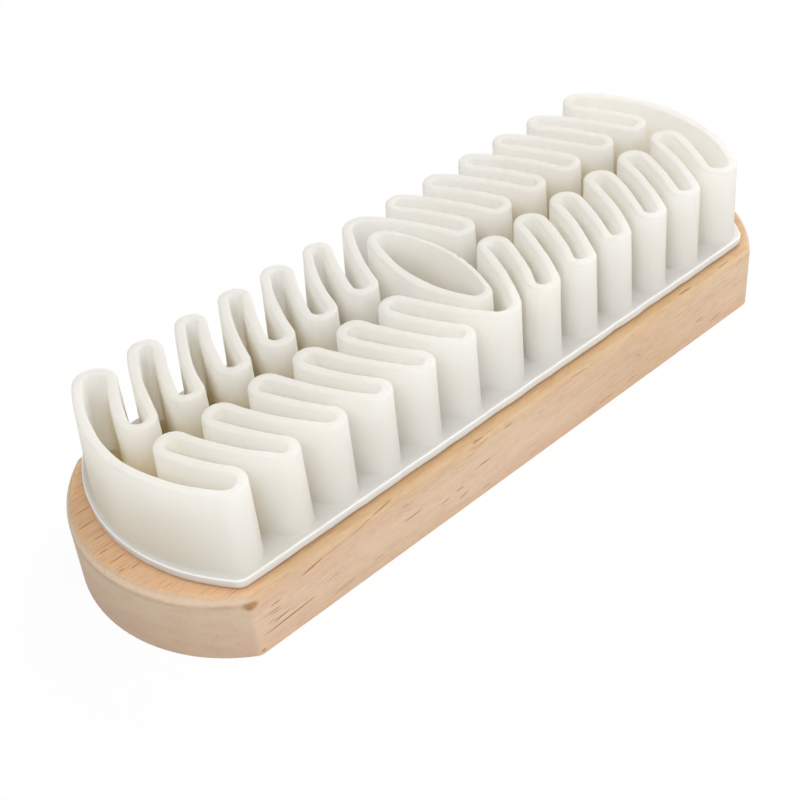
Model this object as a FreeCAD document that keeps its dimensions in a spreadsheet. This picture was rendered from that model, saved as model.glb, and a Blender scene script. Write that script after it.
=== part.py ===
"""Suede brush: a beech block that carries a rubber pad with one long folded wall and an eye-shaped loop.

The block lies on its flat underside and the rubber points up, as the brush is put down after use.
X runs along the brush, Y across it and Z up. The origin is the middle of the underside.
"""
import FreeCAD, Part
import math
import os
import Sketcher
from FreeCAD import Vector

SIZES = (
    ("wood_length", 130.0, "block, tip to tip"),
    ("wood_width", 41.6, "block, between its straight sides"),
    ("wood_thickness", 11.9, "block, underside to top"),
    ("wood_end_bulge", 10.9, "how far each end arc of the block stands out past its corners"),
    ("wood_corner_radius", 2.0, "upright corners where the end arcs meet the sides"),
    ("wood_top_round", 1.3, "rounded edge under the rubber"),
    ("wood_bottom_round", 0.3, "eased edge of the underside"),
    ("sheet_end_ledge", 4.15, "tip of the block to the tip of the rubber sheet"),
    ("sheet_side_ledge", 1.58, "side of the block to the side of the rubber sheet"),
    ("sheet_thickness", 1.6, "rubber sheet"),
    ("sheet_end_bulge", 7.04, "how far each end arc of the sheet stands out past its corners"),
    ("sheet_corner_radius", 2.5, "corners where the end arcs meet the sides"),
    ("sheet_edge_round", 0.25, "upper edge of the sheet"),
    ("glue_thickness", 0.2, "film that bonds the sheet to the block"),
    ("glue_setback", 0.8, "edge of the sheet to the edge of the film"),
    ("wall_height", 14.2, "rubber wall, sheet to rim"),
    ("wall_rim_width", 1.63, "rubber wall, at the rim"),
    ("wall_foot_width", 2.3, "rubber wall, above its foot"),
    ("wall_rim_round", 0.45, "rounded edges of the rim"),
    ("wall_foot_flare", 0.3, "spread of the foot on the sheet, each side"),
    ("wall_margin", 0.24, "free strip of the sheet between the foot and the rounded edge"),
    ("end_wall_bulge", 6.59, "how far each end wall stands out past the outer bends"),
    ("fold_clearance", 1.1, "least free width from foot to foot of two folds, on the long axis"),
    ("fold_radius", 50.4, "plan arc of every fold"),
    ("channel_width", 1.3, "free channel along the middle, between the feet of the inner bends"),
    ("middle_bend_radius", 2.84, "outer bend that both halves share, beside the eye loop"),
    ("eye_half_width", 4.1, "middle of the eye loop to its side, along the brush"),
    ("eye_tip_radius", 1.8, "rounded tips of the eye loop"),
    ("eye_clearance", 2.4, "eye loop to the folded wall, from foot to foot"),
)
SHEET_LENGTH = "(Sizes.wood_length - 2 * Sizes.sheet_end_ledge)"
SHEET_WIDTH = "(Sizes.wood_width - 2 * Sizes.sheet_side_ledge)"
FOOT_HALF = "(Sizes.wall_foot_width / 2 + Sizes.wall_foot_flare)"
WALL_INSET = "(Sizes.sheet_edge_round + Sizes.wall_margin + %s)" % FOOT_HALF

doc = FreeCAD.newDocument("suede_brush")
sheet = doc.addObject("Spreadsheet::Sheet", "Sizes")
for row, (alias, value, meaning) in enumerate(SIZES, start=1):
    sheet.set("A%d" % row, alias)
    sheet.set("B%d" % row, str(value))
    sheet.set("C%d" % row, meaning)
    sheet.setAlias("B%d" % row, alias)
doc.recompute()


def size(alias):
    """Value of one cell of the sheet."""
    return float(sheet.get(alias))


def bulge_radius(half_width, bulge):
    """Radius of an arc over a chord of twice the half width that it stands out from by the bulge."""
    return (half_width ** 2 + bulge ** 2) / (2 * bulge)


def end_radius(width, bulge):
    """The same radius as an expression in the cells of the sheet, for a whole width."""
    return "(%s ^ 2 / 4 + %s ^ 2) / (2 * %s)" % (width, bulge, bulge)


def wall_foot_half():
    """Half of the width that the rubber wall takes up on the sheet."""
    return size("wall_foot_width") / 2 + size("wall_foot_flare")


def wall_inset():
    """Edge of the sheet to the centre line of the rubber wall."""
    return size("sheet_edge_round") + size("wall_margin") + wall_foot_half()


def end_reach():
    """Middle of the brush to the centre line of an end wall."""
    return size("wood_length") / 2 - size("sheet_end_ledge") - wall_inset()


def outer_reach():
    """Long axis to the centre line of the wall at the top of an outer bend."""
    return size("wood_width") / 2 - size("sheet_side_ledge") - wall_inset()


def eye_gap():
    """Eye loop to the folded wall, from centre line to centre line."""
    return size("eye_clearance") + 2 * wall_foot_half()


def origin_plane(body, role):
    """One of the origin planes of a body."""
    return next(plane for plane in body.Origin.OriginFeatures if plane.Role == role)


def segment_outline(body, name, length, width, arc_radius):
    """Sketch two straight sides joined by two end arcs whose centres lie on the long axis.

    The last three arguments are expressions in the cells of the sheet.
    """
    sketch = body.newObject("Sketcher::SketchObject", name)
    sketch.AttachmentSupport = [(origin_plane(body, "XY_Plane"), "")]
    sketch.MapMode = "FlatFace"
    half_width = size("wood_width") / 2
    radius = bulge_radius(half_width, size("wood_end_bulge"))
    centre = size("wood_length") / 2 - radius
    opening = math.asin(half_width / radius)
    corner = centre + radius * math.cos(opening)
    right_circle = Part.Circle(Vector(centre, 0), Vector(0, 0, 1), radius)
    left_circle = Part.Circle(Vector(-centre, 0), Vector(0, 0, 1), radius)
    front, right, back, left = range(4)
    start, end, middle = 1, 2, 3
    sketch.addGeometry(Part.LineSegment(Vector(-corner, -half_width), Vector(corner, -half_width)))
    sketch.addGeometry(Part.ArcOfCircle(right_circle, -opening, opening))
    sketch.addGeometry(Part.LineSegment(Vector(corner, half_width), Vector(-corner, half_width)))
    sketch.addGeometry(Part.ArcOfCircle(left_circle, math.pi - opening, math.pi + opening))
    for one, other in ((front, right), (right, back), (back, left), (left, front)):
        sketch.addConstraint(Sketcher.Constraint("Coincident", one, end, other, start))
    root, x_axis, y_axis = -1, -1, -2
    sketch.addConstraint(Sketcher.Constraint("Symmetric", front, start, front, end, y_axis))
    sketch.addConstraint(Sketcher.Constraint("Symmetric", front, end, back, start, x_axis))
    sketch.addConstraint(Sketcher.Constraint("Horizontal", back))
    sketch.addConstraint(Sketcher.Constraint("PointOnObject", left, middle, x_axis))
    sketch.addConstraint(Sketcher.Constraint("Equal", left, right))
    driving = (
        ("DistanceY", (front, end, back, start), 2 * half_width, width),
        ("Radius", (right,), radius, arc_radius),
        ("DistanceX", (root, start, right, middle), centre, "%s / 2 - (%s)" % (length, arc_radius)),
    )
    drive(sketch, driving)
    return sketch


def drive(sketch, driving):
    """Add size constraints to a sketch, each with its kind, places, starting value and expression."""
    for kind, places, value, expression in driving:
        number = sketch.addConstraint(Sketcher.Constraint(kind, *places, value))
        sketch.setExpression("Constraints[%d]" % number, expression)


def pad(body, name, sketch, thickness):
    """Raise a sketch by an expression in the cells of the sheet."""
    feature = body.newObject("PartDesign::Pad", name)
    feature.Profile = sketch
    feature.setExpression("Length", thickness)
    doc.recompute()
    return feature


def upright(edge, box):
    """Whether an edge passes mid-height."""
    return edge.BoundBox.ZMin < box.Center.z < edge.BoundBox.ZMax


def upper(edge, box):
    """Whether an edge lies in the upper half."""
    return edge.BoundBox.ZMin > box.Center.z


def lower(edge, box):
    """Whether an edge lies in the lower half."""
    return edge.BoundBox.ZMax < box.Center.z


def fillet(body, name, base, wanted, radius):
    """Round the edges of the base feature for which a test holds."""
    box = base.Shape.BoundBox
    names = ["Edge%d" % number for number, edge in enumerate(base.Shape.Edges, start=1) if wanted(edge, box)]
    feature = body.newObject("PartDesign::Fillet", name)
    feature.Base = (base, names)
    feature.setExpression("Radius", radius)
    doc.recompute()
    return feature


def make_wood_block():
    """Block with straight sides, arc ends, soft upright corners and a rounded upper edge."""
    body = doc.addObject("PartDesign::Body", "wood_block")
    outline = segment_outline(body, "wood_outline", "Sizes.wood_length", "Sizes.wood_width",
                              end_radius("Sizes.wood_width", "Sizes.wood_end_bulge"))
    blank = pad(body, "wood_blank", outline, "Sizes.wood_thickness")
    corners = fillet(body, "wood_corners", blank, upright, "Sizes.wood_corner_radius")
    top = fillet(body, "wood_top_edge", corners, upper, "Sizes.wood_top_round")
    fillet(body, "wood_bottom_edge", top, lower, "Sizes.wood_bottom_round")
    return body


def make_glue_film():
    """Thin film between the block and the sheet, set back from the edge of the sheet."""
    body = doc.addObject("PartDesign::Body", "glue_film")
    sheet_radius = end_radius(SHEET_WIDTH, "Sizes.sheet_end_bulge")
    outline = segment_outline(body, "glue_outline", "(%s - 2 * Sizes.glue_setback)" % SHEET_LENGTH,
                              "%s - 2 * Sizes.glue_setback" % SHEET_WIDTH,
                              "%s - Sizes.glue_setback" % sheet_radius)
    film = pad(body, "glue_layer", outline, "Sizes.glue_thickness")
    fillet(body, "glue_corners", film, upright, "Sizes.sheet_corner_radius - Sizes.glue_setback")
    body.setExpression("Placement.Base.z", "Sizes.wood_thickness")
    return body


def make_base_sheet():
    """Rubber sheet that the folded wall and the eye loop stand on."""
    body = doc.addObject("PartDesign::Body", "base_sheet")
    outline = segment_outline(body, "sheet_outline", SHEET_LENGTH, SHEET_WIDTH,
                              end_radius(SHEET_WIDTH, "Sizes.sheet_end_bulge"))
    layer = pad(body, "sheet_layer", outline, "Sizes.sheet_thickness")
    corners = fillet(body, "sheet_corners", layer, upright, "Sizes.sheet_corner_radius")
    fillet(body, "sheet_edge", corners, upper, "Sizes.sheet_edge_round")
    body.setExpression("Placement.Base.z", "Sizes.wood_thickness + Sizes.glue_thickness")
    return body


def on_circle(centre, radius, towards):
    """Point of a plan circle in the direction of another point."""
    return centre + (towards - centre).normalize() * radius


def short_arc(centre, radius, start, end):
    """Arc of a plan circle between two of its points, the short way."""
    halfway = on_circle(centre, radius, (start + end) / 2)
    return Part.Arc(start, halfway, end).toShape()


def fold_bend(left, left_radius, right, right_radius, reach, outward):
    """Bend that joins two fold arcs, each given by its centre and radius.

    The bend touches the left arc from inside and the right arc from outside, and its top is at the given
    reach across the brush. An outward bend (1) turns at the side of the brush and an inward one (-1) near
    its middle. Returns its ends on both arcs and its top.
    """
    spread = right.x - left.x
    rise = right.y - left.y
    both = left_radius + right_radius
    level = reach - left.y
    change = right_radius - left_radius
    at_zero = (spread ** 2 + rise ** 2 - 2 * rise * level - both * change) / (2 * spread)
    per_radius = (rise * outward - both) / spread
    square = per_radius ** 2
    linear = 2 * (at_zero * per_radius - outward * level + left_radius)
    constant = at_zero ** 2 + level ** 2 - left_radius ** 2
    radius = (-linear + math.sqrt(linear ** 2 - 4 * square * constant)) / (2 * square)
    centre = Vector(left.x + at_zero + per_radius * radius, reach - outward * radius, 0)
    top = centre + Vector(0, outward * radius, 0)
    return on_circle(left, left_radius, centre), top, on_circle(centre, radius, right)


def fold_arcs():
    """Centres and radii of the arcs of a quarter of the folded wall, from the end wall to the last fold.

    The last fold crosses the long axis beside the eye loop and runs into the middle bend. The others are
    copies of it, as many as there is room for, evenly spaced up to the end wall.
    """
    radius = size("fold_radius")
    last = size("eye_half_width") + eye_gap()
    bend = size("middle_bend_radius")
    crossing = Vector(-last, 0, 0)
    to_bend = Vector(0, outer_reach() - bend, 0) - crossing
    along = (radius ** 2 - (radius - bend) ** 2 + to_bend.Length ** 2) / (2 * to_bend.Length)
    aside = math.sqrt(radius ** 2 - along ** 2)
    to_bend.normalize()
    last_centre = crossing + to_bend * along + Vector(to_bend.y, -to_bend.x, 0) * aside
    least_spacing = 2 * wall_foot_half() + size("fold_clearance")
    loops = math.floor((end_reach() - last) / (2 * least_spacing))
    spacing = (end_reach() - last) / (2 * loops)
    end_wall_radius = bulge_radius(outer_reach(), size("end_wall_bulge"))
    arcs = [(Vector(end_wall_radius - end_reach(), 0, 0), end_wall_radius)]
    for number in range(2 * loops - 1, -1, -1):
        arcs.append((last_centre - Vector(number * spacing, 0, 0), radius))
    return arcs


def fold_route():
    """Centre line of a quarter of the folded wall, from the end wall to the middle of a long side.

    Every fold is an arc bowed towards the near end of the brush, and bends join each arc to the next, in
    turn at the side and near the middle. The last bend is shared with the other half.
    """
    arcs = fold_arcs()
    inner_reach = wall_foot_half() + size("channel_width") / 2
    edges = []
    here = Vector(-end_reach(), 0, 0)
    for number in range(len(arcs) - 1):
        centre, radius = arcs[number]
        outward = 1 if number % 2 == 0 else -1
        reach = outer_reach() if outward > 0 else inner_reach
        bend_start, top, bend_end = fold_bend(*arcs[number], *arcs[number + 1], reach, outward)
        edges.append(short_arc(centre, radius, here, bend_start))
        edges.append(Part.Arc(bend_start, top, bend_end).toShape())
        here = bend_end
    centre, radius = arcs[-1]
    bend_radius = size("middle_bend_radius")
    bend_centre = Vector(0, outer_reach() - bend_radius, 0)
    bend_start = on_circle(centre, radius, bend_centre)
    edges.append(short_arc(centre, radius, here, bend_start))
    edges.append(short_arc(bend_centre, bend_radius, bend_start, Vector(0, outer_reach(), 0)))
    return Part.Wire(edges)


def eye_route():
    """Centre line of a quarter of the eye loop, from the middle of its side to its tip."""
    half_width = size("eye_half_width")
    half_length = outer_reach() - eye_gap()
    tip_radius = size("eye_tip_radius")
    side_radius = ((half_width ** 2 + half_length ** 2 - 2 * half_length * tip_radius)
                   / (2 * (half_width - tip_radius)))
    side_centre = Vector(side_radius - half_width, 0, 0)
    tip_centre = Vector(0, half_length - tip_radius, 0)
    meeting = on_circle(side_centre, side_radius, tip_centre)
    side = short_arc(side_centre, side_radius, Vector(-half_width, 0, 0), meeting)
    tip = short_arc(tip_centre, tip_radius, meeting, Vector(0, half_length, 0))
    return Part.Wire([side, tip])


def wall_section(name, offset):
    """Upright section of the rubber wall at the start of a route, on the long axis.

    The foot spreads on the sheet in a small hollow curve, the sides lean in to the rim and the rim is
    rounded. The second argument is an expression for the distance of the section from the middle of the
    brush.
    """
    sketch = doc.addObject("Sketcher::SketchObject", name)
    sketch.Placement.Rotation = FreeCAD.Rotation(Vector(1, 0, 0), 90)
    sketch.setExpression("Placement.Base.x", "-(%s)" % offset)
    height = size("wall_height")
    rim = size("wall_rim_width") / 2
    rim_round = size("wall_rim_round")
    foot = size("wall_foot_width") / 2
    flare = size("wall_foot_flare")
    quarter = math.pi / 2

    def circle(x, y, radius):
        return Part.Circle(Vector(x, y), Vector(0, 0, 1), radius)

    def line(x0, y0, x1, y1):
        return Part.LineSegment(Vector(x0, y0), Vector(x1, y1))

    base, flare_r, side_r, rim_r, rim_top, rim_l, side_l, flare_l = range(8)
    start, end, middle = 1, 2, 3
    outline = (
        line(-foot - flare, 0, foot + flare, 0),
        Part.ArcOfCircle(circle(foot + flare, flare, flare), math.pi, math.pi + quarter),
        line(foot, flare, rim, height - rim_round),
        Part.ArcOfCircle(circle(rim - rim_round, height - rim_round, rim_round), 0, quarter),
        line(rim - rim_round, height, rim_round - rim, height),
        Part.ArcOfCircle(circle(rim_round - rim, height - rim_round, rim_round), quarter, math.pi),
        line(-rim, height - rim_round, -foot, flare),
        Part.ArcOfCircle(circle(-foot - flare, flare, flare), -quarter, 0),
    )
    for edge in outline:
        sketch.addGeometry(edge)
    joints = (
        (base, end, flare_r, end),
        (flare_r, start, side_r, start),
        (side_r, end, rim_r, start),
        (rim_r, end, rim_top, start),
        (rim_top, end, rim_l, start),
        (rim_l, end, side_l, start),
        (side_l, end, flare_l, end),
        (flare_l, start, base, start),
    )
    for joint in joints:
        sketch.addConstraint(Sketcher.Constraint("Coincident", *joint))
    root, y_axis = -1, -2
    pairs = (
        (base, start, base, end),
        (side_r, start, side_l, end),
        (side_r, end, side_l, start),
        (rim_top, start, rim_top, end),
    )
    for pair in pairs:
        sketch.addConstraint(Sketcher.Constraint("Symmetric", *pair, y_axis))
    sketch.addConstraint(Sketcher.Constraint("Equal", rim_r, rim_l))
    sketch.addConstraint(Sketcher.Constraint("Equal", flare_r, flare_l))
    sketch.addConstraint(Sketcher.Constraint("PointOnObject", base, end, root))
    sketch.addConstraint(Sketcher.Constraint("Vertical", base, end, flare_r, middle))
    sketch.addConstraint(Sketcher.Constraint("Vertical", rim_top, start, rim_r, middle))
    sketch.addConstraint(Sketcher.Constraint("Horizontal", side_r, start, flare_r, middle))
    sketch.addConstraint(Sketcher.Constraint("Horizontal", side_r, end, rim_r, middle))
    driving = (
        ("DistanceX", (side_l, end, side_r, start), 2 * foot, "Sizes.wall_foot_width"),
        ("DistanceX", (side_l, start, side_r, end), 2 * rim, "Sizes.wall_rim_width"),
        ("DistanceY", (root, start, rim_top, start), height, "Sizes.wall_height"),
        ("Radius", (rim_r,), rim_round, "Sizes.wall_rim_round"),
        ("Radius", (flare_r,), flare, "Sizes.wall_foot_flare"),
    )
    drive(sketch, driving)
    return sketch


def make_standing_wall(name, route, offset):
    """Rubber wall swept round a quarter of its route and mirrored over both middle planes of the brush."""
    path = doc.addObject("Part::Feature", name + "_route")
    path.Shape = route
    section = wall_section(name + "_section", offset)
    doc.recompute()
    quarter = doc.addObject("Part::Sweep", name + "_quarter")
    quarter.Sections = [section]
    quarter.Spine = (path, ["Edge%d" % number for number in range(1, len(route.Edges) + 1)])
    quarter.Solid = True
    quarter.Frenet = False
    other_side = doc.addObject("Part::Mirroring", name + "_other_side")
    other_side.Source = quarter
    other_side.Normal = Vector(0, 1, 0)
    half = doc.addObject("Part::Fuse", name + "_half")
    half.Base = quarter
    half.Tool = other_side
    other_end = doc.addObject("Part::Mirroring", name + "_other_end")
    other_end.Source = half
    other_end.Normal = Vector(1, 0, 0)
    whole = doc.addObject("Part::Fuse", name)
    whole.Base = half
    whole.Tool = other_end
    whole.Refine = True
    whole.setExpression("Placement.Base.z",
                        "Sizes.wood_thickness + Sizes.glue_thickness + Sizes.sheet_thickness")
    return whole


pieces = [
    make_wood_block(),
    make_glue_film(),
    make_base_sheet(),
    make_standing_wall("fold_wall", fold_route(), "%s / 2 - %s" % (SHEET_LENGTH, WALL_INSET)),
    make_standing_wall("eye_loop", eye_route(), "Sizes.eye_half_width"),
]
doc.recompute()

for item in doc.Objects:
    if {"Invalid", "Error"} & set(item.State):
        raise RuntimeError("%s did not build: %s" % (item.Label, item.State))
for piece in pieces:
    if piece.Shape.isNull() or not piece.Shape.isValid():
        raise RuntimeError("%s has no valid shape" % piece.Label)
    if len(piece.Shape.Solids) != 1:
        raise RuntimeError("%s has %d solids" % (piece.Label, len(piece.Shape.Solids)))
os.makedirs("parts", exist_ok=True)
for piece in pieces:
    piece.Shape.exportStep("parts/%s.step" % piece.Label)
    print("%s: %.0f mm3" % (piece.Label, piece.Shape.Volume))
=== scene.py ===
"""Looks of a suede brush: a bare beech block with a glued rubber pad, one folded wall and an eye-shaped loop.

All sizes in the classes are millimetres in the frame of the part: X along the brush, Y across it, Z up.
"""
from __future__ import annotations

import logging
import math
from dataclasses import dataclass
from enum import Enum
from typing import Any, Callable, Mapping, Sequence, Union

import bpy
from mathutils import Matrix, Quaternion, Vector, noise


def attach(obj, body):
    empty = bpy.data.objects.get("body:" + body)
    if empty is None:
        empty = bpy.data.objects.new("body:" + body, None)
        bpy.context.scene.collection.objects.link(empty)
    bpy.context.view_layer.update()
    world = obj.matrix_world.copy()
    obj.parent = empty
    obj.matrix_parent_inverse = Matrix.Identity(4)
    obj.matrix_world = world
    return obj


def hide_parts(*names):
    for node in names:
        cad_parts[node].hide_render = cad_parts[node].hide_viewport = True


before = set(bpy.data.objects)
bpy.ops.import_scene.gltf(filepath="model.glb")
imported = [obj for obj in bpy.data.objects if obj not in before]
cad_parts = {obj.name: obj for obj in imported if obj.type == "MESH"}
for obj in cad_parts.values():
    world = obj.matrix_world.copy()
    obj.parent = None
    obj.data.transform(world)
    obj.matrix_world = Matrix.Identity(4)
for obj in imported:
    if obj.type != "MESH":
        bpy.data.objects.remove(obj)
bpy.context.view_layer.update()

LOG = logging.getLogger("suede_brush")
MM = 0.001
FRONT_FACE = -20.8
LEDGE = 11.9
SHEET_BOTTOM = 12.1
SHEET_TOP = 13.7
Colour = tuple[float, float, float, float]


def tint(red: int, green: int, blue: int) -> Colour:
    """Turn a colour as it looks on screen, 0 to 255, into the linear colour that a shader takes.

    Args:
        red: Red level.
        green: Green level.
        blue: Blue level.

    Returns:
        The linear colour with full alpha.
    """
    levels = []
    for level in (red, green, blue):
        share = level / 255
        levels.append(share / 12.92 if share <= 0.04045 else ((share + 0.055) / 1.055) ** 2.4)
    return (levels[0], levels[1], levels[2], 1.0)


class Signal:
    """A socket of a node tree whose sums are written as Python expressions."""

    def __init__(self, net: Net, socket: bpy.types.NodeSocket) -> None:
        """Keep the tree and the socket."""
        self.net = net
        self.socket = socket

    def _sum(self, operation: str, *terms: Input) -> Signal:
        """Add one Math node.

        Args:
            operation: What the node does.
            *terms: Its values or links, in order.

        Returns:
            The result.
        """
        return self.net.node("ShaderNodeMath", {"operation": operation}, dict(enumerate(terms)))

    def __add__(self, other: Input) -> Signal:
        """Sum of two values."""
        return self._sum("ADD", self, other)

    __radd__ = __add__

    def __sub__(self, other: Input) -> Signal:
        """Difference of two values."""
        return self._sum("SUBTRACT", self, other)

    def __rsub__(self, other: Input) -> Signal:
        """Difference from a plain number."""
        return self._sum("SUBTRACT", other, self)

    def __mul__(self, other: Input) -> Signal:
        """Product of two values."""
        return self._sum("MULTIPLY", self, other)

    __rmul__ = __mul__

    def __abs__(self) -> Signal:
        """Size of a value without its sign."""
        return self._sum("ABSOLUTE", self)

    def sine(self) -> Signal:
        """Sine of a value in radians."""
        return self._sum("SINE", self)

    def step(self, low: float, high: float) -> Signal:
        """Smooth step of a value.

        Args:
            low: Where the result is 0.
            high: Where the result is 1; it may lie below low.

        Returns:
            A value from 0 to 1.
        """
        return self.net.node("ShaderNodeMapRange", {"interpolation_type": "SMOOTHSTEP"},
                             {"Value": self, "From Min": low, "From Max": high})


Input = Union[Signal, float, int, Sequence[float]]


class Net:
    """The node tree of one material, built node by node."""

    def __init__(self, tree: bpy.types.NodeTree) -> None:
        """Start from an empty tree."""
        self.tree = tree
        tree.nodes.clear()

    @staticmethod
    def _find(sockets: Any, key: Union[str, int]) -> bpy.types.NodeSocket:
        """Socket of a node by its number, identifier or name.

        Args:
            sockets: The inputs or outputs of a node.
            key: What to look for.

        Returns:
            The socket.
        """
        if isinstance(key, int):
            return sockets[key]
        for socket in sockets:
            if socket.identifier == key:
                return socket
        return sockets[key]

    def node(self, kind: str, settings: Mapping[str, Any] | None = None,
             sockets: Mapping[Any, Input] | None = None, output: Union[str, int] = 0) -> Signal | None:
        """Add a node.

        Args:
            kind: The type of the node.
            settings: Its properties, set first.
            sockets: The values or links of its inputs.
            output: Which output to return.

        Returns:
            That output, or None if the node has none.
        """
        node = self.tree.nodes.new(kind)
        for name, value in (settings or {}).items():
            setattr(node, name, value)
        for key, value in (sockets or {}).items():
            socket = self._find(node.inputs, key)
            if isinstance(value, Signal):
                self.tree.links.new(value.socket, socket)
            else:
                socket.default_value = value
        return Signal(self, self._find(node.outputs, output)) if len(node.outputs) else None

    def mix(self, share: Input, first: Input, second: Input, blend: str = "MIX") -> Signal:
        """Mix two colours.

        Args:
            share: How much of the second colour shows.
            first: The colour at 0.
            second: The colour at 1.
            blend: The way they are mixed.

        Returns:
            The mixed colour.
        """
        return self.node("ShaderNodeMix", {"data_type": "RGBA", "blend_type": blend},
                         {"Factor_Float": share, "A_Color": first, "B_Color": second}, "Result_Color")

    def vector(self, operation: str, first: Input, second: Input, output: str = "Vector") -> Signal:
        """Work out one step on vectors.

        Args:
            operation: What the node does.
            first: The first vector.
            second: The second vector.
            output: Which output to return.

        Returns:
            That output.
        """
        return self.node("ShaderNodeVectorMath", {"operation": operation}, {0: first, 1: second}, output)

    def place(self) -> Signal:
        """Place on the part in millimetres."""
        metres = self.node("ShaderNodeTexCoord", output="Object")
        return self.vector("MULTIPLY", metres, (1 / MM, 1 / MM, 1 / MM))

    def cloud(self, place: Signal, grain: Sequence[float], detail: float = 2.0, rough: float = 0.5,
              shift: float = 0.0) -> Signal:
        """Soft noise whose blotches have a given size.

        Args:
            place: The place in millimetres.
            grain: Size of a blotch along X, Y and Z in millimetres.
            detail: How many finer layers are added.
            rough: How strong the finer layers are.
            shift: A shift that makes this noise unlike the others.

        Returns:
            A value about 0.5.
        """
        spread = self.vector("MULTIPLY", place, tuple(1 / length for length in grain))
        moved = self.vector("ADD", spread, (shift, 1.7 * shift, 0.6 * shift))
        return self.node("ShaderNodeTexNoise", {}, {"Vector": moved, "Scale": 1.0, "Detail": detail,
                                                   "Roughness": rough})

    def spot(self, place: Signal, centre: Sequence[float], reach: Sequence[float], core: float = 0.25,
             rise: float = 0.0) -> Signal:
        """Soft round spot.

        Args:
            place: The place in millimetres.
            centre: Middle of the spot.
            reach: Half size of the spot along X, Y and Z.
            core: Share of the spot that is full.
            rise: How much the spot rises per length along X.

        Returns:
            1 in the middle, 0 outside.
        """
        away = self.vector("SUBTRACT", place, centre)
        scaled = self.vector("MULTIPLY", away, tuple(1 / length for length in reach))
        if rise:
            along = self.vector("DOT_PRODUCT", away, (1.0, 0.0, 0.0), "Value")
            scaled = self.vector("SUBTRACT", scaled, self.vector("MULTIPLY", along, (0.0, 0.0, rise / reach[2])))
        return self.vector("LENGTH", scaled, (0.0, 0.0, 0.0), "Value").step(1.0, core)

    def bump(self, height: Signal, strength: float, distance: float) -> Signal:
        """Raise a surface by a height.

        Args:
            height: The height from 0 to 1.
            strength: How much of it shows.
            distance: What 1 stands for, in millimetres.

        Returns:
            The normal.
        """
        return self.node("ShaderNodeBump", {}, {"Height": height, "Strength": strength, "Distance": distance * MM})

    def surface(self, shader: Signal) -> None:
        """Send a shader to the output of the material."""
        self.node("ShaderNodeOutputMaterial", {}, {"Surface": shader})


def new_material(name: str) -> tuple[bpy.types.Material, Net]:
    """Make an empty node material.

    Args:
        name: Its name.

    Returns:
        The material and its tree.
    """
    material = bpy.data.materials.new(name)
    material.use_nodes = True
    return material, Net(material.node_tree)


@dataclass(frozen=True)
class Pore:
    """A pore of the wood that shows as a thin dark dash along the brush."""

    middle: tuple[float, float, float]
    half_length: float
    strength: float
    rise: float = 0.0
    upright: bool = True
    thin_half: float = 0.11
    bold_half: float = 0.07
    lying_share: float = 0.6
    reach_in: float = 3.0
    taper: float = 1.15
    core: float = 0.6

    def shade(self, net: Net, place: Signal) -> Signal:
        """Where the dash shows.

        Args:
            net: The tree.
            place: The place in millimetres.

        Returns:
            How dark the place is, 0 to 1.
        """
        half_width = self.thin_half + self.bold_half * self.strength
        across = (self.reach_in, half_width) if self.upright else (self.lying_share * half_width, self.reach_in)
        reach = (self.taper * self.half_length, *across)
        return net.spot(place, self.middle, reach, self.core, self.rise) * self.strength


def front_pore(x: float, z: float, half_length: float, strength: float, rise: float = 0.0) -> Pore:
    """Pore that the front face cuts."""
    return Pore((x, FRONT_FACE, z), half_length, strength, rise)


def ledge_pore(x: float, y: float, half_length: float, strength: float) -> Pore:
    """Pore that the top face cuts."""
    return Pore((x, y, LEDGE), half_length, strength, upright=False)


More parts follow.
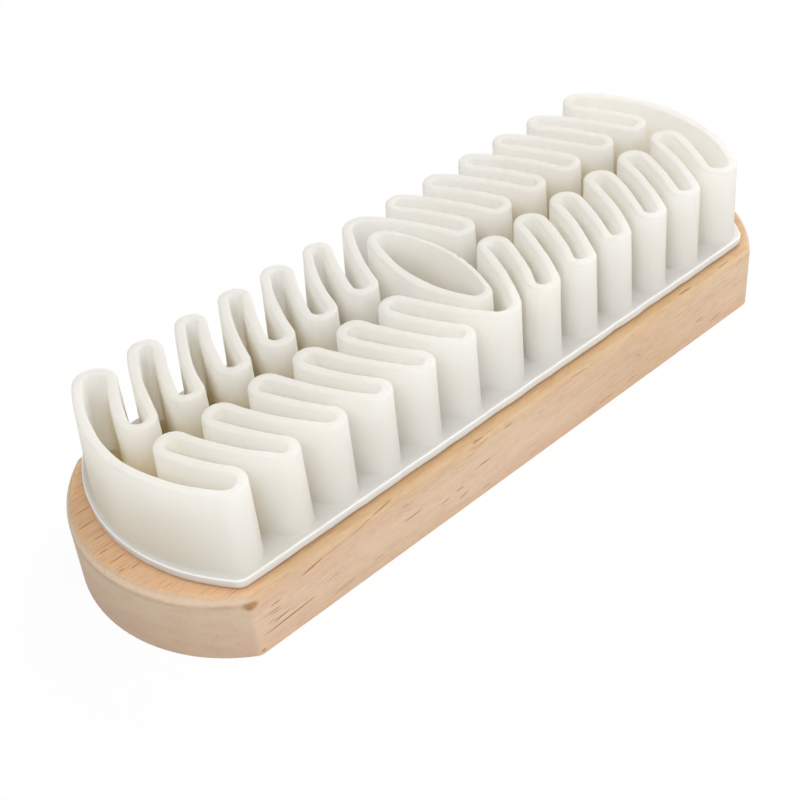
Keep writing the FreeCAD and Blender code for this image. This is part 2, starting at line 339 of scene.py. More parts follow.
@dataclass(frozen=True)
class BeechFinish:
    """Bare beech, sanded and thinly sealed, with its grain along the brush, and with painted light: a highlight on
    the rounded edges of its ends, shade on faces that point up and a shade line under those edges.
    """

    pale: Colour = tint(217, 193, 167)
    tan: Colour = tint(211, 181, 150)
    rosy: Colour = tint(214, 181, 155)
    honey: Colour = tint(234, 190, 146)
    golden: Colour = tint(213, 176, 124)
    # Painted shade for the faces that point up, away from the left end.
    shaded: Colour = tint(204, 168, 122)
    # Painted highlight on the rounded top edge of the end faces.
    rounding_highlight: Colour = tint(228, 202, 176)
    end_grain: Colour = tint(207, 186, 160)
    end_rose: Colour = tint(197, 168, 144)
    # Brown of the pores and grain, also used for the painted shade line under the rounded edge of the ends.
    streak_and_shade: Colour = tint(138, 86, 52)
    knot: Colour = tint(150, 102, 38)
    rosy_share: float = 0.7
    ring_share: float = 0.18
    rounding_highlight_share: float = 0.75
    mottle_share: float = 0.12
    streak_share: float = 0.85
    knot_share: float = 0.7
    ring_width: float = 4.6
    ring_sway: float = 9.0
    pith: tuple[float, float] = (9.0, -34.0)
    knots: tuple[tuple[tuple[float, float, float], tuple[float, float, float]], ...] = (
        ((-54.4, -20.75, 10.25), (1.9, 1.9, 1.2)),
        ((-54.6, -20.85, 9.95), (0.8, 0.9, 0.42)),
        ((-53.6, -20.6, 0.9), (0.7, 0.9, 0.45)),
    )
    pores: tuple[Pore, ...] = (
        front_pore(-48.4, 3.75, 5.1, 0.95, 0.062), front_pore(-49.8, 4.87, 1.5, 0.85, 0.12),
        front_pore(-51.0, 6.85, 1.8, 0.65, 0.03), front_pore(-50.5, 8.0, 1.1, 0.65, 0.06),
        front_pore(-50.5, 6.4, 1.1, 0.55), front_pore(-51.5, 5.2, 0.9, 0.5, 0.13),
        front_pore(-43.6, 9.82, 2.0, 0.95, 0.18), front_pore(-39.2, 10.27, 2.9, 0.45, 0.05),
        front_pore(-34.3, 10.8, 2.4, 0.5, 0.17), front_pore(-30.1, 11.36, 2.2, 0.6, 0.09),
        front_pore(-38.5, 1.92, 2.3, 0.55, 0.086), front_pore(-24.7, 6.0, 2.0, 0.8, 0.02),
        front_pore(-25.9, 8.9, 0.7, 0.45), front_pore(-25.4, 7.7, 0.7, 0.5), front_pore(-31.8, 2.7, 1.1, 0.45),
        front_pore(-18.1, 4.3, 1.1, 0.65, 0.12), front_pore(-15.2, 4.65, 1.0, 0.7),
        front_pore(-14.4, 2.9, 1.1, 0.75, 0.27), front_pore(-10.4, 6.4, 1.9, 0.45),
        front_pore(-9.6, 1.4, 1.0, 0.55), front_pore(-10.3, 10.5, 1.5, 0.5, 0.3),
        front_pore(-4.6, 10.36, 1.0, 0.7), front_pore(-9.6, 6.5, 1.3, 0.5),
        front_pore(11.2, 10.87, 2.1, 0.5, -0.05), front_pore(17.7, 1.5, 1.8, 0.55),
        front_pore(24.3, 2.0, 1.3, 0.5),
        front_pore(25.5, 5.8, 0.6, 0.55), front_pore(41.2, 4.1, 0.9, 0.65, 0.24),
        front_pore(45.6, 2.15, 1.7, 0.7, 0.19), front_pore(51.2, 10.4, 1.1, 0.45, 0.14),
        ledge_pore(-10.7, -20.54, 1.3, 0.65), ledge_pore(37.6, -20.18, 1.7, 1.0),
        ledge_pore(47.6, -20.2, 1.6, 0.65),
        ledge_pore(-60.3, 10.25, 1.6, 0.85), ledge_pore(-61.4, 7.4, 1.7, 0.9),
        ledge_pore(-61.5, 4.05, 1.2, 0.85), ledge_pore(-59.2, 12.95, 1.1, 0.45),
        ledge_pore(-62.9, 1.2, 0.8, 0.55), ledge_pore(-62.2, -1.35, 1.5, 0.9),
        ledge_pore(-61.3, -4.35, 1.0, 0.85), ledge_pore(-63.2, -3.6, 0.6, 0.75),
        ledge_pore(-62.3, -3.1, 0.8, 0.4), ledge_pore(-60.5, -9.6, 0.9, 0.55),
        ledge_pore(-60.4, -10.6, 0.9, 0.55), ledge_pore(-55.1, -18.2, 1.3, 0.65),
    )

    def rings(self, net: Net, place: Signal) -> Signal:
        """Growth rings about a pith below the block, wavy along the grain.

        Args:
            net: The tree.
            place: The place in millimetres.

        Returns:
            A value from 0 to 1, 1 in the middle of a ring.
        """
        across = net.vector("MULTIPLY", net.vector("SUBTRACT", place, (0.0, *self.pith)), (0.0, 1.0, 1.0))
        radius = net.vector("LENGTH", across, (0.0, 0.0, 0.0), "Value")
        sway = net.cloud(place, (95.0, 34.0, 34.0), 1.0, 0.5, 3.1)
        return ((radius + sway * self.ring_sway) * (2 * math.pi / self.ring_width)).sine() * 0.5 + 0.5

    def streaks(self, net: Net, place: Signal, flat: Signal, end: Signal) -> Signal:
        """Thin dark pore lines: those that stand out and fainter ones in clusters.

        Args:
            net: The tree.
            place: The place in millimetres.
            flat: 1 on faces that point up or down.
            end: 1 on the end faces.

        Returns:
            How dark the place is, 0 to 1.
        """
        dashes = net.cloud(place, (4.0, 0.24, 0.24), 1.0, 0.5, 7.7).step(0.65, 0.73)
        clusters = net.cloud(place, (17.0, 4.2, 4.2), 1.0, 0.5, 5.2).step(0.46, 0.62)
        lines = net.cloud(place, (7.5, 0.36, 0.36), 1.0, 0.5, 12.4).step(0.62, 0.7)
        total = (dashes * (clusters * 0.4 + 0.06) + lines * flat * 0.35) * (1 - end)
        for pore in self.pores:
            total = total + pore.shade(net, place)
        return total.step(-0.1, 1.1)

    def material(self) -> bpy.types.Material:
        """Make the material.

        Returns:
            The finished wood.
        """
        material, net = new_material("beech")
        place = net.place()
        normal = net.node("ShaderNodeTexCoord", output="Normal")
        facing = net.node("ShaderNodeSeparateXYZ", {}, {"Vector": normal}, "X")
        rising = Signal(net, facing.socket.node.outputs["Z"])
        along = net.node("ShaderNodeSeparateXYZ", {}, {"Vector": place}, "X")
        height = Signal(net, along.socket.node.outputs["Z"])
        end = abs(facing).step(0.12, 0.8)
        flat = abs(rising).step(0.8, 0.97)
        rounded = rising.step(0.12, 0.45) * rising.step(0.97, 0.7)
        ring = self.rings(net, place)
        broad = net.cloud(place, (60.0, 7.0, 7.0), 2.0, 0.5, 1.3)
        fibre = net.cloud(place, (7.0, 0.26, 0.26), 2.0, 0.6, 2.2)
        colour = net.mix(broad.step(0.34, 0.66), self.pale, self.tan)
        rosy = net.cloud(place, (26.0, 9.0, 5.0), 1.0, 0.5, 9.5).step(0.46, 0.66)
        colour = net.mix(rosy * self.rosy_share, colour, self.rosy)
        colour = net.mix(ring * self.ring_share, colour, self.tan)
        colour = net.mix(height.step(9.0, 11.0) * (0.15 + along.step(-40.0, 0.0) * 0.2), colour, self.golden)
        outer = along.step(-46.0, -55.0)
        colour = net.mix(flat * outer * (0.55 + broad * 0.4), colour, self.honey)
        # Painted shade: faces that point up, away from the left end, are darkened.
        colour = net.mix(rising.step(0.5, 0.9) * (1 - outer) * (0.45 + broad * 0.4), colour, self.shaded)
        blotch = net.cloud(place, (5.0, 5.0, 1.6), 2.0, 0.5, 13.7).step(0.36, 0.7)
        lower = blotch * 0.4 + height.step(10.0, 1.0) * 0.5
        colour = net.mix(end, colour, net.mix(lower, self.end_grain, self.end_rose))
        # Painted highlight: the rounded top edge of the end faces, picked by its normal, is lightened.
        colour = net.mix(rounded * end * self.rounding_highlight_share, colour, self.rounding_highlight)
        mottle = net.cloud(place, (2.4, 0.8, 0.8), 2.0, 0.6, 17.3).step(0.42, 0.74)
        colour = net.mix(mottle * (1 - end) * self.mottle_share, colour, self.streak_and_shade)
        colour = net.mix((fibre - 0.4) * (0.36 - end * 0.26), colour, self.streak_and_shade)
        speckle = net.cloud(place, (0.5, 0.3, 0.3), 2.0, 0.6, 15.1).step(0.52, 0.78)
        colour = net.mix(speckle * (0.08 + end * 0.14), colour, self.streak_and_shade)
        # Painted shade: a faint dark line on the end faces where the rounded top edge meets them.
        under = height.step(9.9, 10.3) * height.step(10.95, 10.5) * end
        colour = net.mix(under * (blotch * 0.14 + 0.05), colour, self.streak_and_shade)
        streaks = self.streaks(net, place, flat, end)
        colour = net.mix(streaks * self.streak_share, colour, self.streak_and_shade)
        for centre, reach in self.knots:
            knot = (net.spot(place, centre, reach) * (blotch + 0.6)).step(0.0, 0.9)
            colour = net.mix(knot * self.knot_share, colour, self.knot)
        relief = fibre * 0.6 + net.cloud(place, (5.0, 0.14, 0.14), 1.0, 0.5, 4.4) * 0.4
        net.surface(net.node("ShaderNodeBsdfPrincipled", {}, {
            "Base Color": colour,
            "Roughness": 0.56 + fibre * 0.16,
            "Specular IOR Level": 0.25,
            "Normal": net.bump(relief, 0.25, 0.06),
        }))
        return material


@dataclass(frozen=True)
class RubberFinish:
    """Matt off-white moulded rubber that lets light through its walls, a little uneven in tone, with painted shade
    between the folds and on the sheet.
    """

    milk: Colour = tint(251, 250, 247)
    cream: Colour = tint(251, 249, 243)
    dust: Colour = tint(245, 241, 234)
    # Warm colour of the painted shade deep between the folds.
    amber: Colour = tint(248, 228, 176)
    # Darkening factor of the painted shade on the sheet's top face.
    sheet_shade: Colour = (0.81, 0.81, 0.795, 1.0)
    # Darkening factor of the painted shade on the sheet's side edge.
    edge: Colour = (0.8, 0.795, 0.785, 1.0)
    lip_foot_brown: Colour = tint(208, 180, 158)
    through: float = 0.56
    hollow_shade_share: float = 0.9
    dusty: float = 0.2
    sheet_shade_share: float = 0.55
    pad_half: float = 18.6
    end_centre: float = 33.0
    end_radius: float = 27.2

    def depth(self, net: Net, place: Signal) -> Signal:
        """How deep a place lies between the folds, where a warm painted shade is laid on.

        Args:
            net: The tree.
            place: The place in millimetres.

        Returns:
            1 deep inside the pad, 0 on its outer faces and near its rims.
        """
        mirrored = net.vector("ABSOLUTE", place, (0.0, 0.0, 0.0))
        away = net.vector("SUBTRACT", mirrored, (self.end_centre, 0.0, 0.0))
        away = net.vector("MULTIPLY", away, (1.0, 1.0, 0.0))
        ahead = net.vector("MAXIMUM", away, (0.0, -100.0, -100.0))
        from_end = self.end_radius - net.vector("LENGTH", ahead, (0.0, 0.0, 0.0), "Value")
        across = net.node("ShaderNodeSeparateXYZ", {}, {"Vector": place}, "Y")
        height = Signal(net, across.socket.node.outputs["Z"])
        along = net.node("ShaderNodeSeparateXYZ", {}, {"Vector": mirrored}, "X")
        front = across.step(-self.pad_half + 3.0, -self.pad_half + 8.0)
        back = across.step(self.pad_half - 1.0, self.pad_half - 3.6)
        off_middle = along.step(8.0, 26.0) * 0.7 + 0.3
        return front * back * from_end.step(1.0, 2.6) * off_middle * height.step(26.0, 18.0)

    def material(self) -> bpy.types.Material:
        """Make the material.

        Returns:
            The finished rubber.
        """
        material, net = new_material("rubber")
        place = net.place()
        height = net.node("ShaderNodeSeparateXYZ", {}, {"Vector": place}, "Z")
        broad = net.cloud(place, (16.0, 16.0, 11.0), 2.0, 0.5, 2.6)
        fine = net.cloud(place, (0.9, 0.9, 0.9), 2.0, 0.6, 6.1)
        grain = net.cloud(place, (0.16, 0.16, 0.16), 1.0, 0.5, 8.3)
        colour = net.mix(broad.step(0.35, 0.68), self.milk, self.cream)
        dust = net.cloud(place, (3.2, 3.2, 5.0), 3.0, 0.6, 10.4).step(0.62, 0.8)
        colour = net.mix(dust * self.dusty, colour, self.dust)
        # Painted shade: a warm amber tint deep in the hollows between the folds.
        skin = net.mix(self.depth(net, place) * self.hollow_shade_share, colour, self.amber)
        # Painted shade: the top face of the sheet is darkened.
        on_sheet = height.step(SHEET_TOP + 0.05, SHEET_TOP - 0.02) * self.sheet_shade_share
        skin = net.mix(on_sheet, skin, net.mix(1.0, skin, self.sheet_shade, "MULTIPLY"))
        # Painted shade: the side edge of the sheet is darkened.
        on_edge = height.step(SHEET_TOP - 0.04, SHEET_TOP - 0.3)
        skin = net.mix(on_edge, skin, net.mix(1.0, skin, self.edge, "MULTIPLY"))
        # The lowest part of the sheet's edge is tinted brown.
        low = height.step(SHEET_BOTTOM + 0.52, SHEET_BOTTOM + 0.25)
        skin = net.mix(low * (fine * 0.5 + 0.4), skin, self.lip_foot_brown)
        body = net.node("ShaderNodeBsdfPrincipled", {}, {
            "Base Color": skin,
            "Roughness": 0.56 + (fine - 0.5) * 0.18,
            "Specular IOR Level": 0.3,
            "Normal": net.bump(fine * 0.6 + grain * 0.4, 0.2, 0.05),
        })
        glow = net.node("ShaderNodeBsdfTranslucent", {}, {"Color": self.milk})
        share = height.step(SHEET_TOP - 0.01, SHEET_TOP + 0.01) * self.through
        net.surface(net.node("ShaderNodeMixShader", {}, {0: share, 1: body, 2: glow}))
        return material


@dataclass(frozen=True)
class GlueFinish:
    """Dried amber contact adhesive."""

    amber: Colour = tint(176, 140, 104)
    umber: Colour = tint(140, 104, 74)

    def material(self) -> bpy.types.Material:
        """Make the material.

        Returns:
            The dried adhesive.
        """
        material, net = new_material("glue")
        blotch = net.cloud(net.place(), (2.4, 2.4, 0.4), 2.0, 0.6, 4.9)
        net.surface(net.node("ShaderNodeBsdfPrincipled", {}, {
            "Base Color": net.mix(blotch.step(0.35, 0.65), self.amber, self.umber),
            "Roughness": 0.35 + blotch * 0.2,
            "Normal": net.bump(blotch, 0.4, 0.08),
        }))
        return material


@dataclass(frozen=True)
class RoutePoint:
    """A point of a plan line with the direction that the line takes there."""

    place: Vector
    heading: Vector

    def turned(self, along: int, across: int, back: bool) -> RoutePoint:
        """Mirror the point over the middle planes.

        Args:
            along: 1 or -1 for X.
            across: 1 or -1 for Y.
            back: Whether the line is followed the other way.

        Returns:
            The mirrored point.
        """
        way = -1 if back else 1
        return RoutePoint(Vector((self.place.x * along, self.place.y * across)),
                          Vector((self.heading.x * along * way, self.heading.y * across * way)))

    def beside(self, offset: float) -> Vector:
        """Point to the left of the line by an offset."""
        return self.place + Vector((-self.heading.y, self.heading.x)) * offset


@dataclass(frozen=True)
class Arc:
    """Arc of a plan circle, the short way from its start to its end."""

    centre: Vector
    radius: float
    start: Vector
    end: Vector

    def points(self, step: float) -> list[RoutePoint]:
        """Follow the arc.

        Args:
            step: The longest step.

        Returns:
            Its points without the last one.
        """
        first = math.atan2(*(self.start - self.centre).yx)
        turn = math.atan2(*(self.end - self.centre).yx) - first
        turn = (turn + math.pi) % (2 * math.pi) - math.pi
        count = max(2, math.ceil(abs(turn) * self.radius / step))
        way = math.copysign(1.0, turn)
        found = []
        for number in range(count):
            angle = first + turn * number / count
            ray = Vector((math.cos(angle), math.sin(angle)))
            found.append(RoutePoint(self.centre + ray * self.radius, Vector((-ray.y, ray.x)) * way))
        return found


@dataclass(frozen=True)
class Straight:
    """Straight stretch of a plan line."""

    start: Vector
    end: Vector

    def points(self, step: float) -> list[RoutePoint]:
        """Follow the stretch.

        Args:
            step: The longest step.

        Returns:
            Its points without the last one.
        """
        count = max(1, math.ceil((self.end - self.start).length / step))
        heading = (self.end - self.start).normalized()
        return [RoutePoint(self.start.lerp(self.end, number / count), heading) for number in range(count)]


def on_circle(centre: Vector, radius: float, towards: Vector) -> Vector:
    """Point of a plan circle in the direction of another point.

    Args:
        centre: Middle of the circle.
        radius: Its radius.
        towards: The other point.

    Returns:
        The point.
    """
    return centre + (towards - centre).normalized() * radius


def closed_line(quarter: Sequence[Union[Arc, Straight]], step: Callable[[Any], float]) -> list[RoutePoint]:
    """Mirror a quarter of a plan line over both middle planes into a closed line.

    Args:
        quarter: Its stretches, from the long axis on the left to the cross axis at the back.
        step: Gives the longest step for a stretch.

    Returns:
        The points of the whole line, clockwise seen from above.
    """
    there = [point for stretch in quarter for point in stretch.points(step(stretch))]
    last = RoutePoint(quarter[-1].end, Vector((1.0, 0.0)))
    back = [last, *reversed(there)][:-1]
    return (there + [point.turned(-1, 1, True) for point in back]
            + [point.turned(-1, -1, False) for point in there]
            + [point.turned(1, -1, True) for point in back])


def mesh_piece(name: str, corners: Sequence[Vector], faces: Sequence[Sequence[int]]) -> bpy.types.Object:
    """Make a smooth-shaded mesh object from millimetres.

    Args:
        name: Its name.
        corners: Its corners.
        faces: The numbers of the corners of each face.

    Returns:
        The object.
    """
    mesh = bpy.data.meshes.new(name)
    mesh.from_pydata([corner * MM for corner in corners], [], faces)
    mesh.polygons.foreach_set("use_smooth", [True] * len(mesh.polygons))
    mesh.update()
    piece = bpy.data.objects.new(name, mesh)
    bpy.context.scene.collection.objects.link(piece)
    return piece


def ring_faces(rings: int, count: int) -> list[Sequence[int]]:
    """Faces between neighbouring rings of corners round a closed line.

    Args:
        rings: How many rings there are.
        count: How many corners each has, from one open edge to the other.

    Returns:
        The numbers of the corners of each face.
    """
    faces: list[Sequence[int]] = []
    for ring in range(rings):
        here = ring * count
        there = (ring + 1) % rings * count
        for row in range(count - 1):
            faces.append((here + row, here + row + 1, there + row + 1, there + row))
    return faces


def drift(place: Vector, wave: float, salt: float) -> float:
    """Slow wander along a plan line.

    Args:
        place: The place on the plan in millimetres.
        wave: About how long a wave is.
        salt: A number that makes this wander unlike the others.

    Returns:
        A value from about -1 to 1, the same in every run.
    """
    return 1.6 * noise.noise(Vector((place.x / wave, place.y / wave, salt)))


def dress_node(name: str, finish: bpy.types.Material) -> bpy.types.Object:
    """Give a carried-over solid a finish.

    Args:
        name: Name of the node.
        finish: Its material.

    Returns:
        The object of the node.
    """
    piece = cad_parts[name]
    if not piece.material_slots:
        piece.data.materials.append(finish)
    for slot in piece.material_slots:
        slot.material = finish
    return piece


def settle(piece: bpy.types.Object, finish: bpy.types.Material, node: str) -> bpy.types.Object:
    """Dress a piece and let it stand for a node of the part.

    Args:
        piece: The piece.
        finish: Its material.
        node: The node that it replaces.

    Returns:
        The piece.
    """
    piece.data.materials.append(finish)
    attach(piece, "root")
    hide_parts(node)
    return piece


@dataclass(frozen=True)
class WallSection:
    """Upright section of the rubber wall, with the small errors of a moulded strip.

    It is left open underneath, where it stands on the sheet.
    """

    seat: float = SHEET_TOP
    height: float = 14.2
    rim_width: float = 1.63
    foot_width: float = 2.3
    rim_round: float = 0.45
    foot_flare: float = 0.3
    crown: float = 0.05
    rim_drop: float = 0.12
    sway: float = 0.2
    swell_share: float = 0.07
    ripple: float = 0.05
    worn: float = 0.0
    worn_from: float = 2.5
    nicks: tuple[tuple[float, float], ...] = ()
    nick_depth: float = 0.24
    nick_reach: float = 0.6
    side_rows: int = 9
    round_rows: int = 5

    @property
    def foot_half(self) -> float:
        """Half of the width that the wall takes up on the sheet."""
        return self.foot_width / 2 + self.foot_flare

    def rows(self) -> list[tuple[float, float]]:
        """Outline of one side.

        Returns:
            Half width and height of each row, from the foot to the edge of the rim.
        """
        found = []
        for number in range(self.round_rows):
            angle = math.pi / 2 * number / self.round_rows
            found.append((self.foot_half - self.foot_flare * math.sin(angle),
                          self.foot_flare * (1 - math.cos(angle))))
        shoulder = self.height - self.rim_round
        for number in range(self.side_rows):
            share = number / self.side_rows
            found.append((self.foot_width / 2 + (self.rim_width - self.foot_width) / 2 * share,
                          self.foot_flare + (shoulder - self.foot_flare) * share))
        for number in range(self.round_rows + 1):
            angle = math.pi / 2 * number / self.round_rows
            found.append((self.rim_width / 2 - self.rim_round * (1 - math.cos(angle)),
                          shoulder + (self.rim_round - self.crown) * math.sin(angle)))
        return found

    def rim_fall(self, place: Vector, salt: float) -> float:
        """How far the rim lies below its full height.

        Args:
            place: The place on the centre line.
            salt: A number that makes its errors unlike those of other walls.

        Returns:
            The fall in millimetres.
        """
        slow = self.rim_drop * (0.5 + 0.5 * drift(place, 9.0, salt))
        fall = min(max(slow + self.ripple * drift(place, 2.3, salt + 4.0), 0.0), 2 * self.rim_drop)
        for nick in self.nicks:
            fall += self.nick_depth * max(1 - (place - Vector(nick)).length / self.nick_reach, 0.0)
        return fall

    def sweep(self, name: str, line: Sequence[RoutePoint], salt: float) -> bpy.types.Object:
        """Raise the wall along a closed plan line.

        Args:
            name: Name of the piece.
            line: The centre line.
            salt: A number that makes its errors unlike those of other walls.

        Returns:
            The piece.
        """
        rows = self.rows()
        outline = rows + [(0.0, self.height)] + [(-half, up) for half, up in reversed(rows)]
        corners = []
        for point in line:
            drop = self.rim_fall(point.place, salt)
            lean = self.sway * drift(point.place, 13.0, salt + 1.0)
            swell = 1 + self.swell_share * drift(point.place, 5.0, salt + 2.0)
            worn = self.worn * min(max(point.place.x / self.worn_from, 0.0), 1.0)
            for offset, up in outline:
                share = up / self.height
                if point.beside(offset).length < point.place.length:
                    offset *= 1 - worn * share ** 3
                spot = point.beside(offset * (1 + (swell - 1) * share) + lean * share ** 2)
                corners.append(Vector((spot.x, spot.y, self.seat + up - drop * share ** 3)))
        return mesh_piece(name, corners, ring_faces(len(line), len(outline)))


@dataclass
class WoodBlock:
    """The beech block, as it was shaped, with its grain along the brush."""

    node: str = "wood_block"

    def dress(self, finish: bpy.types.Material) -> bpy.types.Object:
        """Give the block its finish.

        Args:
            finish: The wood.

        Returns:
            The block.
        """
        return dress_node(self.node, finish)


@dataclass
class GlueLine:
    """The film of adhesive that shows as a thin line under the edge of the sheet."""

    node: str = "glue_film"

    def dress(self, finish: bpy.types.Material) -> bpy.types.Object:
        """Give the film its finish.

        Args:
            finish: The adhesive.

        Returns:
            The film.
        """
        return dress_node(self.node, finish)


@dataclass
class BaseSheet:
    """The rubber sheet that carries the walls, with a slightly ragged trimmed edge."""

    length: float = 121.7
    width: float = 38.44
    end_bulge: float = 7.04
    corner_radius: float = 2.5
    bottom: float = SHEET_BOTTOM
    top: float = SHEET_TOP
    edge_round: float = 0.25
    edge_lean: float = 0.03
    ragged: float = 0.16

    def outline(self) -> list[RoutePoint]:
        """Plan outline of the sheet.

        Returns:
            Its points, clockwise from the left tip.
        """
        half_width = self.width / 2
        radius = (half_width ** 2 + self.end_bulge ** 2) / (2 * self.end_bulge)
        centre = Vector((radius - self.length / 2, 0.0))
        corner_y = half_width - self.corner_radius
        corner_x = centre.x - math.sqrt((radius - self.corner_radius) ** 2 - corner_y ** 2)
        corner = Vector((corner_x, corner_y))
        meeting = on_circle(centre, radius, corner)
        side = Vector((corner_x, half_width))
        quarter = [
            Arc(centre, radius, Vector((-self.length / 2, 0.0)), meeting),
            Arc(corner, self.corner_radius, meeting, side),
            Straight(side, Vector((0.0, half_width))),
        ]
        return closed_line(quarter, lambda stretch: 0.3)

    def build(self, finish: bpy.types.Material) -> bpy.types.Object:
        """Build and dress the sheet.

        Args:
            finish: The rubber.

        Returns:
            The piece.
        """
        line = self.outline()
        rows = [(0.35, self.bottom), (0.12, self.bottom + 0.1), (0.0, self.bottom + 0.3),
                (self.edge_lean, self.top - self.edge_round)]
        for number in range(1, 5):
            angle = math.pi / 8 * number
            rows.append((self.edge_lean + self.edge_round * (1 - math.cos(angle)),
                         self.top - self.edge_round * (1 - math.sin(angle))))
        rows.append((2 * self.edge_round + 0.2, self.top))
        corners = []
        for point in line:
            rag = self.ragged * max(0.0, 0.35 + 0.65 * drift(point.place, 3.4, 21.0))
            rag += 0.3 * self.ragged * max(0.0, drift(point.place, 0.9, 22.0))
            for inset, up in rows:
                share = (self.top - up) / (self.top - self.bottom)
                spot = point.beside(-inset - rag * (0.35 + 0.65 * share))
                corners.append(Vector((spot.x, spot.y, up)))
        count = len(rows)
        faces = ring_faces(len(line), count)
        faces.append([ring * count for ring in range(len(line))])
        faces.append([ring * count + count - 1 for ring in reversed(range(len(line)))])
        piece = mesh_piece("rubber_sheet", corners, faces)
        for polygon in list(piece.data.polygons)[-2:]:
            polygon.use_smooth = False
        return settle(piece, finish, "base_sheet")


class Turn(Enum):
    """Which way a bend of the folded wall turns."""

    OUTWARD = 1
    INWARD = -1


@dataclass
class FoldedWall:
    """The long rubber wall, folded like a ribbon along both sides of the brush."""

    section: WallSection
    end_reach: float = 58.91
    outer_reach: float = 17.28
    inner_reach: float = 2.1
    end_bulge: float = 6.59
    fold_radius: float = 50.4
    last_fold: float = 9.4
    middle_bend: float = 2.84
    loops: int = 6

    def arcs(self) -> list[tuple[Vector, float]]:
        """Circles of the end wall and of the folds of a quarter.

        Returns:
            Centre and radius of each, from the left end to the middle.
        """
        crossing = Vector((-self.last_fold, 0.0))
        way = Vector((0.0, self.outer_reach - self.middle_bend)) - crossing
        reach = way.length
        along = (self.fold_radius ** 2 - (self.fold_radius - self.middle_bend) ** 2 + reach ** 2) / (2 * reach)
        aside = math.sqrt(self.fold_radius ** 2 - along ** 2)
        way.normalize()
        last = crossing + way * along + Vector((way.y, -way.x)) * aside
        spacing = (self.end_reach - self.last_fold) / (2 * self.loops)
        end_radius = (self.outer_reach ** 2 + self.end_bulge ** 2) / (2 * self.end_bulge)
        found = [(Vector((end_radius - self.end_reach, 0.0)), end_radius)]
        for number in reversed(range(2 * self.loops)):
            found.append((last - Vector((number * spacing, 0.0)), self.fold_radius))
        return found

    @staticmethod
    def bend(left: tuple[Vector, float], right: tuple[Vector, float], reach: float,
             turn: Turn) -> tuple[Vector, float, Vector, Vector, Vector]:
        """Bend that touches the left circle from inside and the right one from outside.

        Args:
            left: Centre and radius of the left circle.
            right: Centre and radius of the right circle.
            reach: Where the top of the bend lies across the brush.
            turn: Which way it turns.

        Returns:
            Its centre and radius, where it starts, its top and where it ends.
        """
        (left_centre, left_radius), (right_centre, right_radius) = left, right
        spread, rise = right_centre - left_centre
        both = left_radius + right_radius
        level = reach - left_centre.y
        at_zero = (spread ** 2 + rise ** 2 - 2 * rise * level
                   - both * (right_radius - left_radius)) / (2 * spread)
        per_radius = (rise * turn.value - both) / spread
        square = per_radius ** 2
        linear = 2 * (at_zero * per_radius - turn.value * level + left_radius)
        constant = at_zero ** 2 + level ** 2 - left_radius ** 2
        radius = (-linear + math.sqrt(linear ** 2 - 4 * square * constant)) / (2 * square)
        centre = Vector((left_centre.x + at_zero + per_radius * radius, reach - turn.value * radius))
        return (centre, radius, on_circle(left_centre, left_radius, centre),
                centre + Vector((0.0, turn.value * radius)), on_circle(centre, radius, right_centre))

    def line(self) -> list[RoutePoint]:
        """Closed centre line of the wall.

        Returns:
            Its points, clockwise from the left end.
        """
        arcs = self.arcs()
        here = Vector((-self.end_reach, 0.0))
        quarter = []
        for number, (left, right) in enumerate(zip(arcs, arcs[1:])):
            turn = Turn.INWARD if number % 2 else Turn.OUTWARD
            reach = self.outer_reach if turn is Turn.OUTWARD else self.inner_reach
            centre, radius, start, top, end = self.bend(left, right, reach, turn)
            quarter += [Arc(*left, here, start), Arc(centre, radius, start, top), Arc(centre, radius, top, end)]
            here = end
        centre = Vector((0.0, self.outer_reach - self.middle_bend))
        start = on_circle(*arcs[-1], centre)
        quarter += [Arc(*arcs[-1], here, start),
                    Arc(centre, self.middle_bend, start, Vector((0.0, self.outer_reach)))]
        return closed_line(quarter, lambda arc: 0.2 if arc.radius < 6.0 else 0.5)

    def build(self, finish: bpy.types.Material) -> bpy.types.Object:
        """Build and dress the wall.

        Args:
            finish: The rubber.

        Returns:
            The piece.
        """
        piece = self.section.sweep("rubber_fold_wall", self.line(), 2.0)
        return settle(piece, finish, "fold_wall")


@dataclass
class EyeLoop:
    """The closed eye-shaped rubber wall in the middle of the brush."""

    section: WallSection
    half_width: float = 4.1
    half_length: float = 11.98
    tip_radius: float = 1.8

    def line(self) -> list[RoutePoint]:
        """Closed centre line of the loop.

        Returns:
            Its points, clockwise from its left side.
        """
        side_radius = ((self.half_width ** 2 + self.half_length ** 2 - 2 * self.half_length * self.tip_radius)
                       / (2 * (self.half_width - self.tip_radius)))
        side = Vector((side_radius - self.half_width, 0.0))
        tip = Vector((0.0, self.half_length - self.tip_radius))
        meeting = on_circle(side, side_radius, tip)
        quarter = [Arc(side, side_radius, Vector((-self.half_width, 0.0)), meeting),
                   Arc(tip, self.tip_radius, meeting, Vector((0.0, self.half_length)))]
        return closed_line(quarter, lambda arc: 0.15 if arc.radius < 6.0 else 0.3)

    def build(self, finish: bpy.types.Material) -> bpy.types.Object:
        """Build and dress the loop.

        Args:
            finish: The rubber.

        Returns:
            The piece.
        """
        piece = self.section.sweep("rubber_eye_loop", self.line(), 37.0)
        return settle(piece, finish, "eye_loop")


@dataclass(frozen=True)
class SoftLamp:
    """A large square lamp that points at the brush."""

    name: str
    place: tuple[float, float, float]
    side: float
    watts: float

    def hang(self) -> bpy.types.Object:
        """Hang the lamp.

        Returns:
            The lamp.
        """
        lamp = bpy.data.lights.new(self.name, "AREA")
        lamp.shape = "SQUARE"
        lamp.size = self.side * MM
        lamp.energy = self.watts
        holder = bpy.data.objects.new(self.name, lamp)
        holder.location = Vector(self.place) * MM
        holder.rotation_euler = (-Vector(self.place)).to_track_quat("-Z", "Y").to_euler()
        bpy.context.scene.collection.objects.link(holder)
        return holder


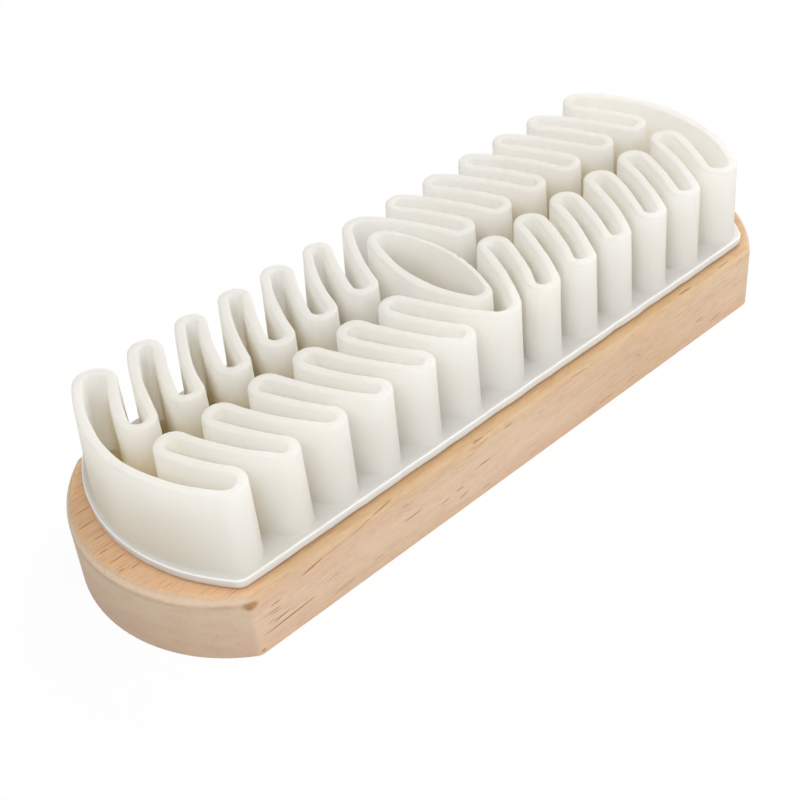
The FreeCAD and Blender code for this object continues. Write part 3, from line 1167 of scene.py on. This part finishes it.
@dataclass
class Studio:
    """White floor and soft lamps all round, strongest on the right."""

    floor_half: float = 1500.0
    white: Colour = (0.92, 0.92, 0.92, 1.0)
    veil: float = 0.94
    ambient: float = 0.02
    lamps: tuple[SoftLamp, ...] = (
        SoftLamp("lamp_front_right", (420.0, -560.0, 760.0), 700.0, 2.9),
        SoftLamp("lamp_right", (650.0, 200.0, 650.0), 600.0, 5.3),
        SoftLamp("lamp_left", (-450.0, -350.0, 700.0), 600.0, 3.7),
        SoftLamp("lamp_front", (0.0, -850.0, 350.0), 700.0, 2.9),
        SoftLamp("lamp_back", (-500.0, 450.0, 650.0), 600.0, 2.3),
    )

    @staticmethod
    def seen(net: Net) -> Signal:
        """Whether a ray comes from the camera, a mirror or clear glass, and not through milky rubber.

        Args:
            net: The tree.

        Returns:
            1 if it does.
        """
        camera = net.node("ShaderNodeLightPath", output="Is Camera Ray")
        kinds = camera.socket.node.outputs
        mirrored = Signal(net, kinds["Is Glossy Ray"])
        clear = Signal(net, kinds["Is Transmission Ray"]) * (1 - Signal(net, kinds["Is Diffuse Ray"]))
        return (camera + mirrored + clear).step(0.0, 1.0)

    def floor(self) -> bpy.types.Object:
        """Lay the floor, which shows white and keeps a faint shadow.

        Returns:
            The floor.
        """
        half = self.floor_half
        corners = [Vector((-half, -half, 0.0)), Vector((half, -half, 0.0)),
                   Vector((half, half, 0.0)), Vector((-half, half, 0.0))]
        piece = mesh_piece("studio_floor", corners, [(0, 1, 2, 3)])
        material, net = new_material("studio_white")
        matt = net.node("ShaderNodeBsdfDiffuse", {}, {"Color": self.white})
        glow = net.node("ShaderNodeEmission", {}, {"Color": (1.0, 1.0, 1.0, 1.0), "Strength": 1.0})
        net.surface(net.node("ShaderNodeMixShader", {}, {0: self.seen(net) * self.veil, 1: matt, 2: glow}))
        piece.data.materials.append(material)
        return piece

    def light(self) -> None:
        """Set the even light and hang the lamps."""
        scene = bpy.context.scene
        world = bpy.data.worlds.new("studio")
        world.use_nodes = True
        scene.world = world
        net = Net(world.node_tree)
        around = net.node("ShaderNodeBackground", {}, {"Color": (1.0, 1.0, 1.0, 1.0), "Strength": self.ambient})
        behind = net.node("ShaderNodeBackground", {}, {"Color": (1.0, 1.0, 1.0, 1.0), "Strength": 1.0})
        mixed = net.node("ShaderNodeMixShader", {}, {0: self.seen(net), 1: around, 2: behind})
        net.node("ShaderNodeOutputWorld", {}, {"Surface": mixed})
        for lamp in self.lamps:
            lamp.hang()
        scene.view_settings.view_transform = "Standard"


@dataclass
class PhotoCamera:
    """Camera that sees the brush from the front left and above."""

    place: tuple[float, float, float] = (-127.708, -144.559, 165.307)
    aim: tuple[float, float, float] = (-6.441, -2.506, 6.442)
    roll: float = -4.687
    lens: float = 69.78
    shift: tuple[float, float] = (-0.02155, -0.0025)

    def stand(self) -> bpy.types.Object:
        """Set the camera up and make it the camera of the scene.

        Returns:
            The camera.
        """
        data = bpy.data.cameras.new("photo_camera")
        data.lens = self.lens
        data.sensor_width = 36.0
        data.shift_x, data.shift_y = self.shift
        data.clip_start = 0.01
        camera = bpy.data.objects.new("photo_camera", data)
        way = Vector(self.aim) - Vector(self.place)
        camera.location = Vector(self.place) * MM
        camera.rotation_mode = "QUATERNION"
        camera.rotation_quaternion = (way.to_track_quat("-Z", "Y")
                                      @ Quaternion((0.0, 0.0, 1.0), math.radians(self.roll)))
        bpy.context.scene.collection.objects.link(camera)
        bpy.context.scene.camera = camera
        return camera


def main() -> None:
    """Build the brush piece by piece, then the studio."""
    logging.basicConfig(level=logging.INFO, format="%(name)s: %(message)s")
    plain = WallSection()
    worn = WallSection(worn=0.85, nicks=((4.0, -1.9), (3.6, -4.0), (1.9, -8.6)))
    rubber = RubberFinish().material()
    pieces = [
        WoodBlock().dress(BeechFinish().material()),
        GlueLine().dress(GlueFinish().material()),
        BaseSheet().build(rubber),
        FoldedWall(plain).build(rubber),
        EyeLoop(worn).build(rubber),
    ]
    for piece in pieces:
        LOG.info("%s: %d faces", piece.name, len(piece.data.polygons))
    studio = Studio()
    studio.floor()
    studio.light()
    PhotoCamera().stand()


if __name__ == "__main__":
    main()
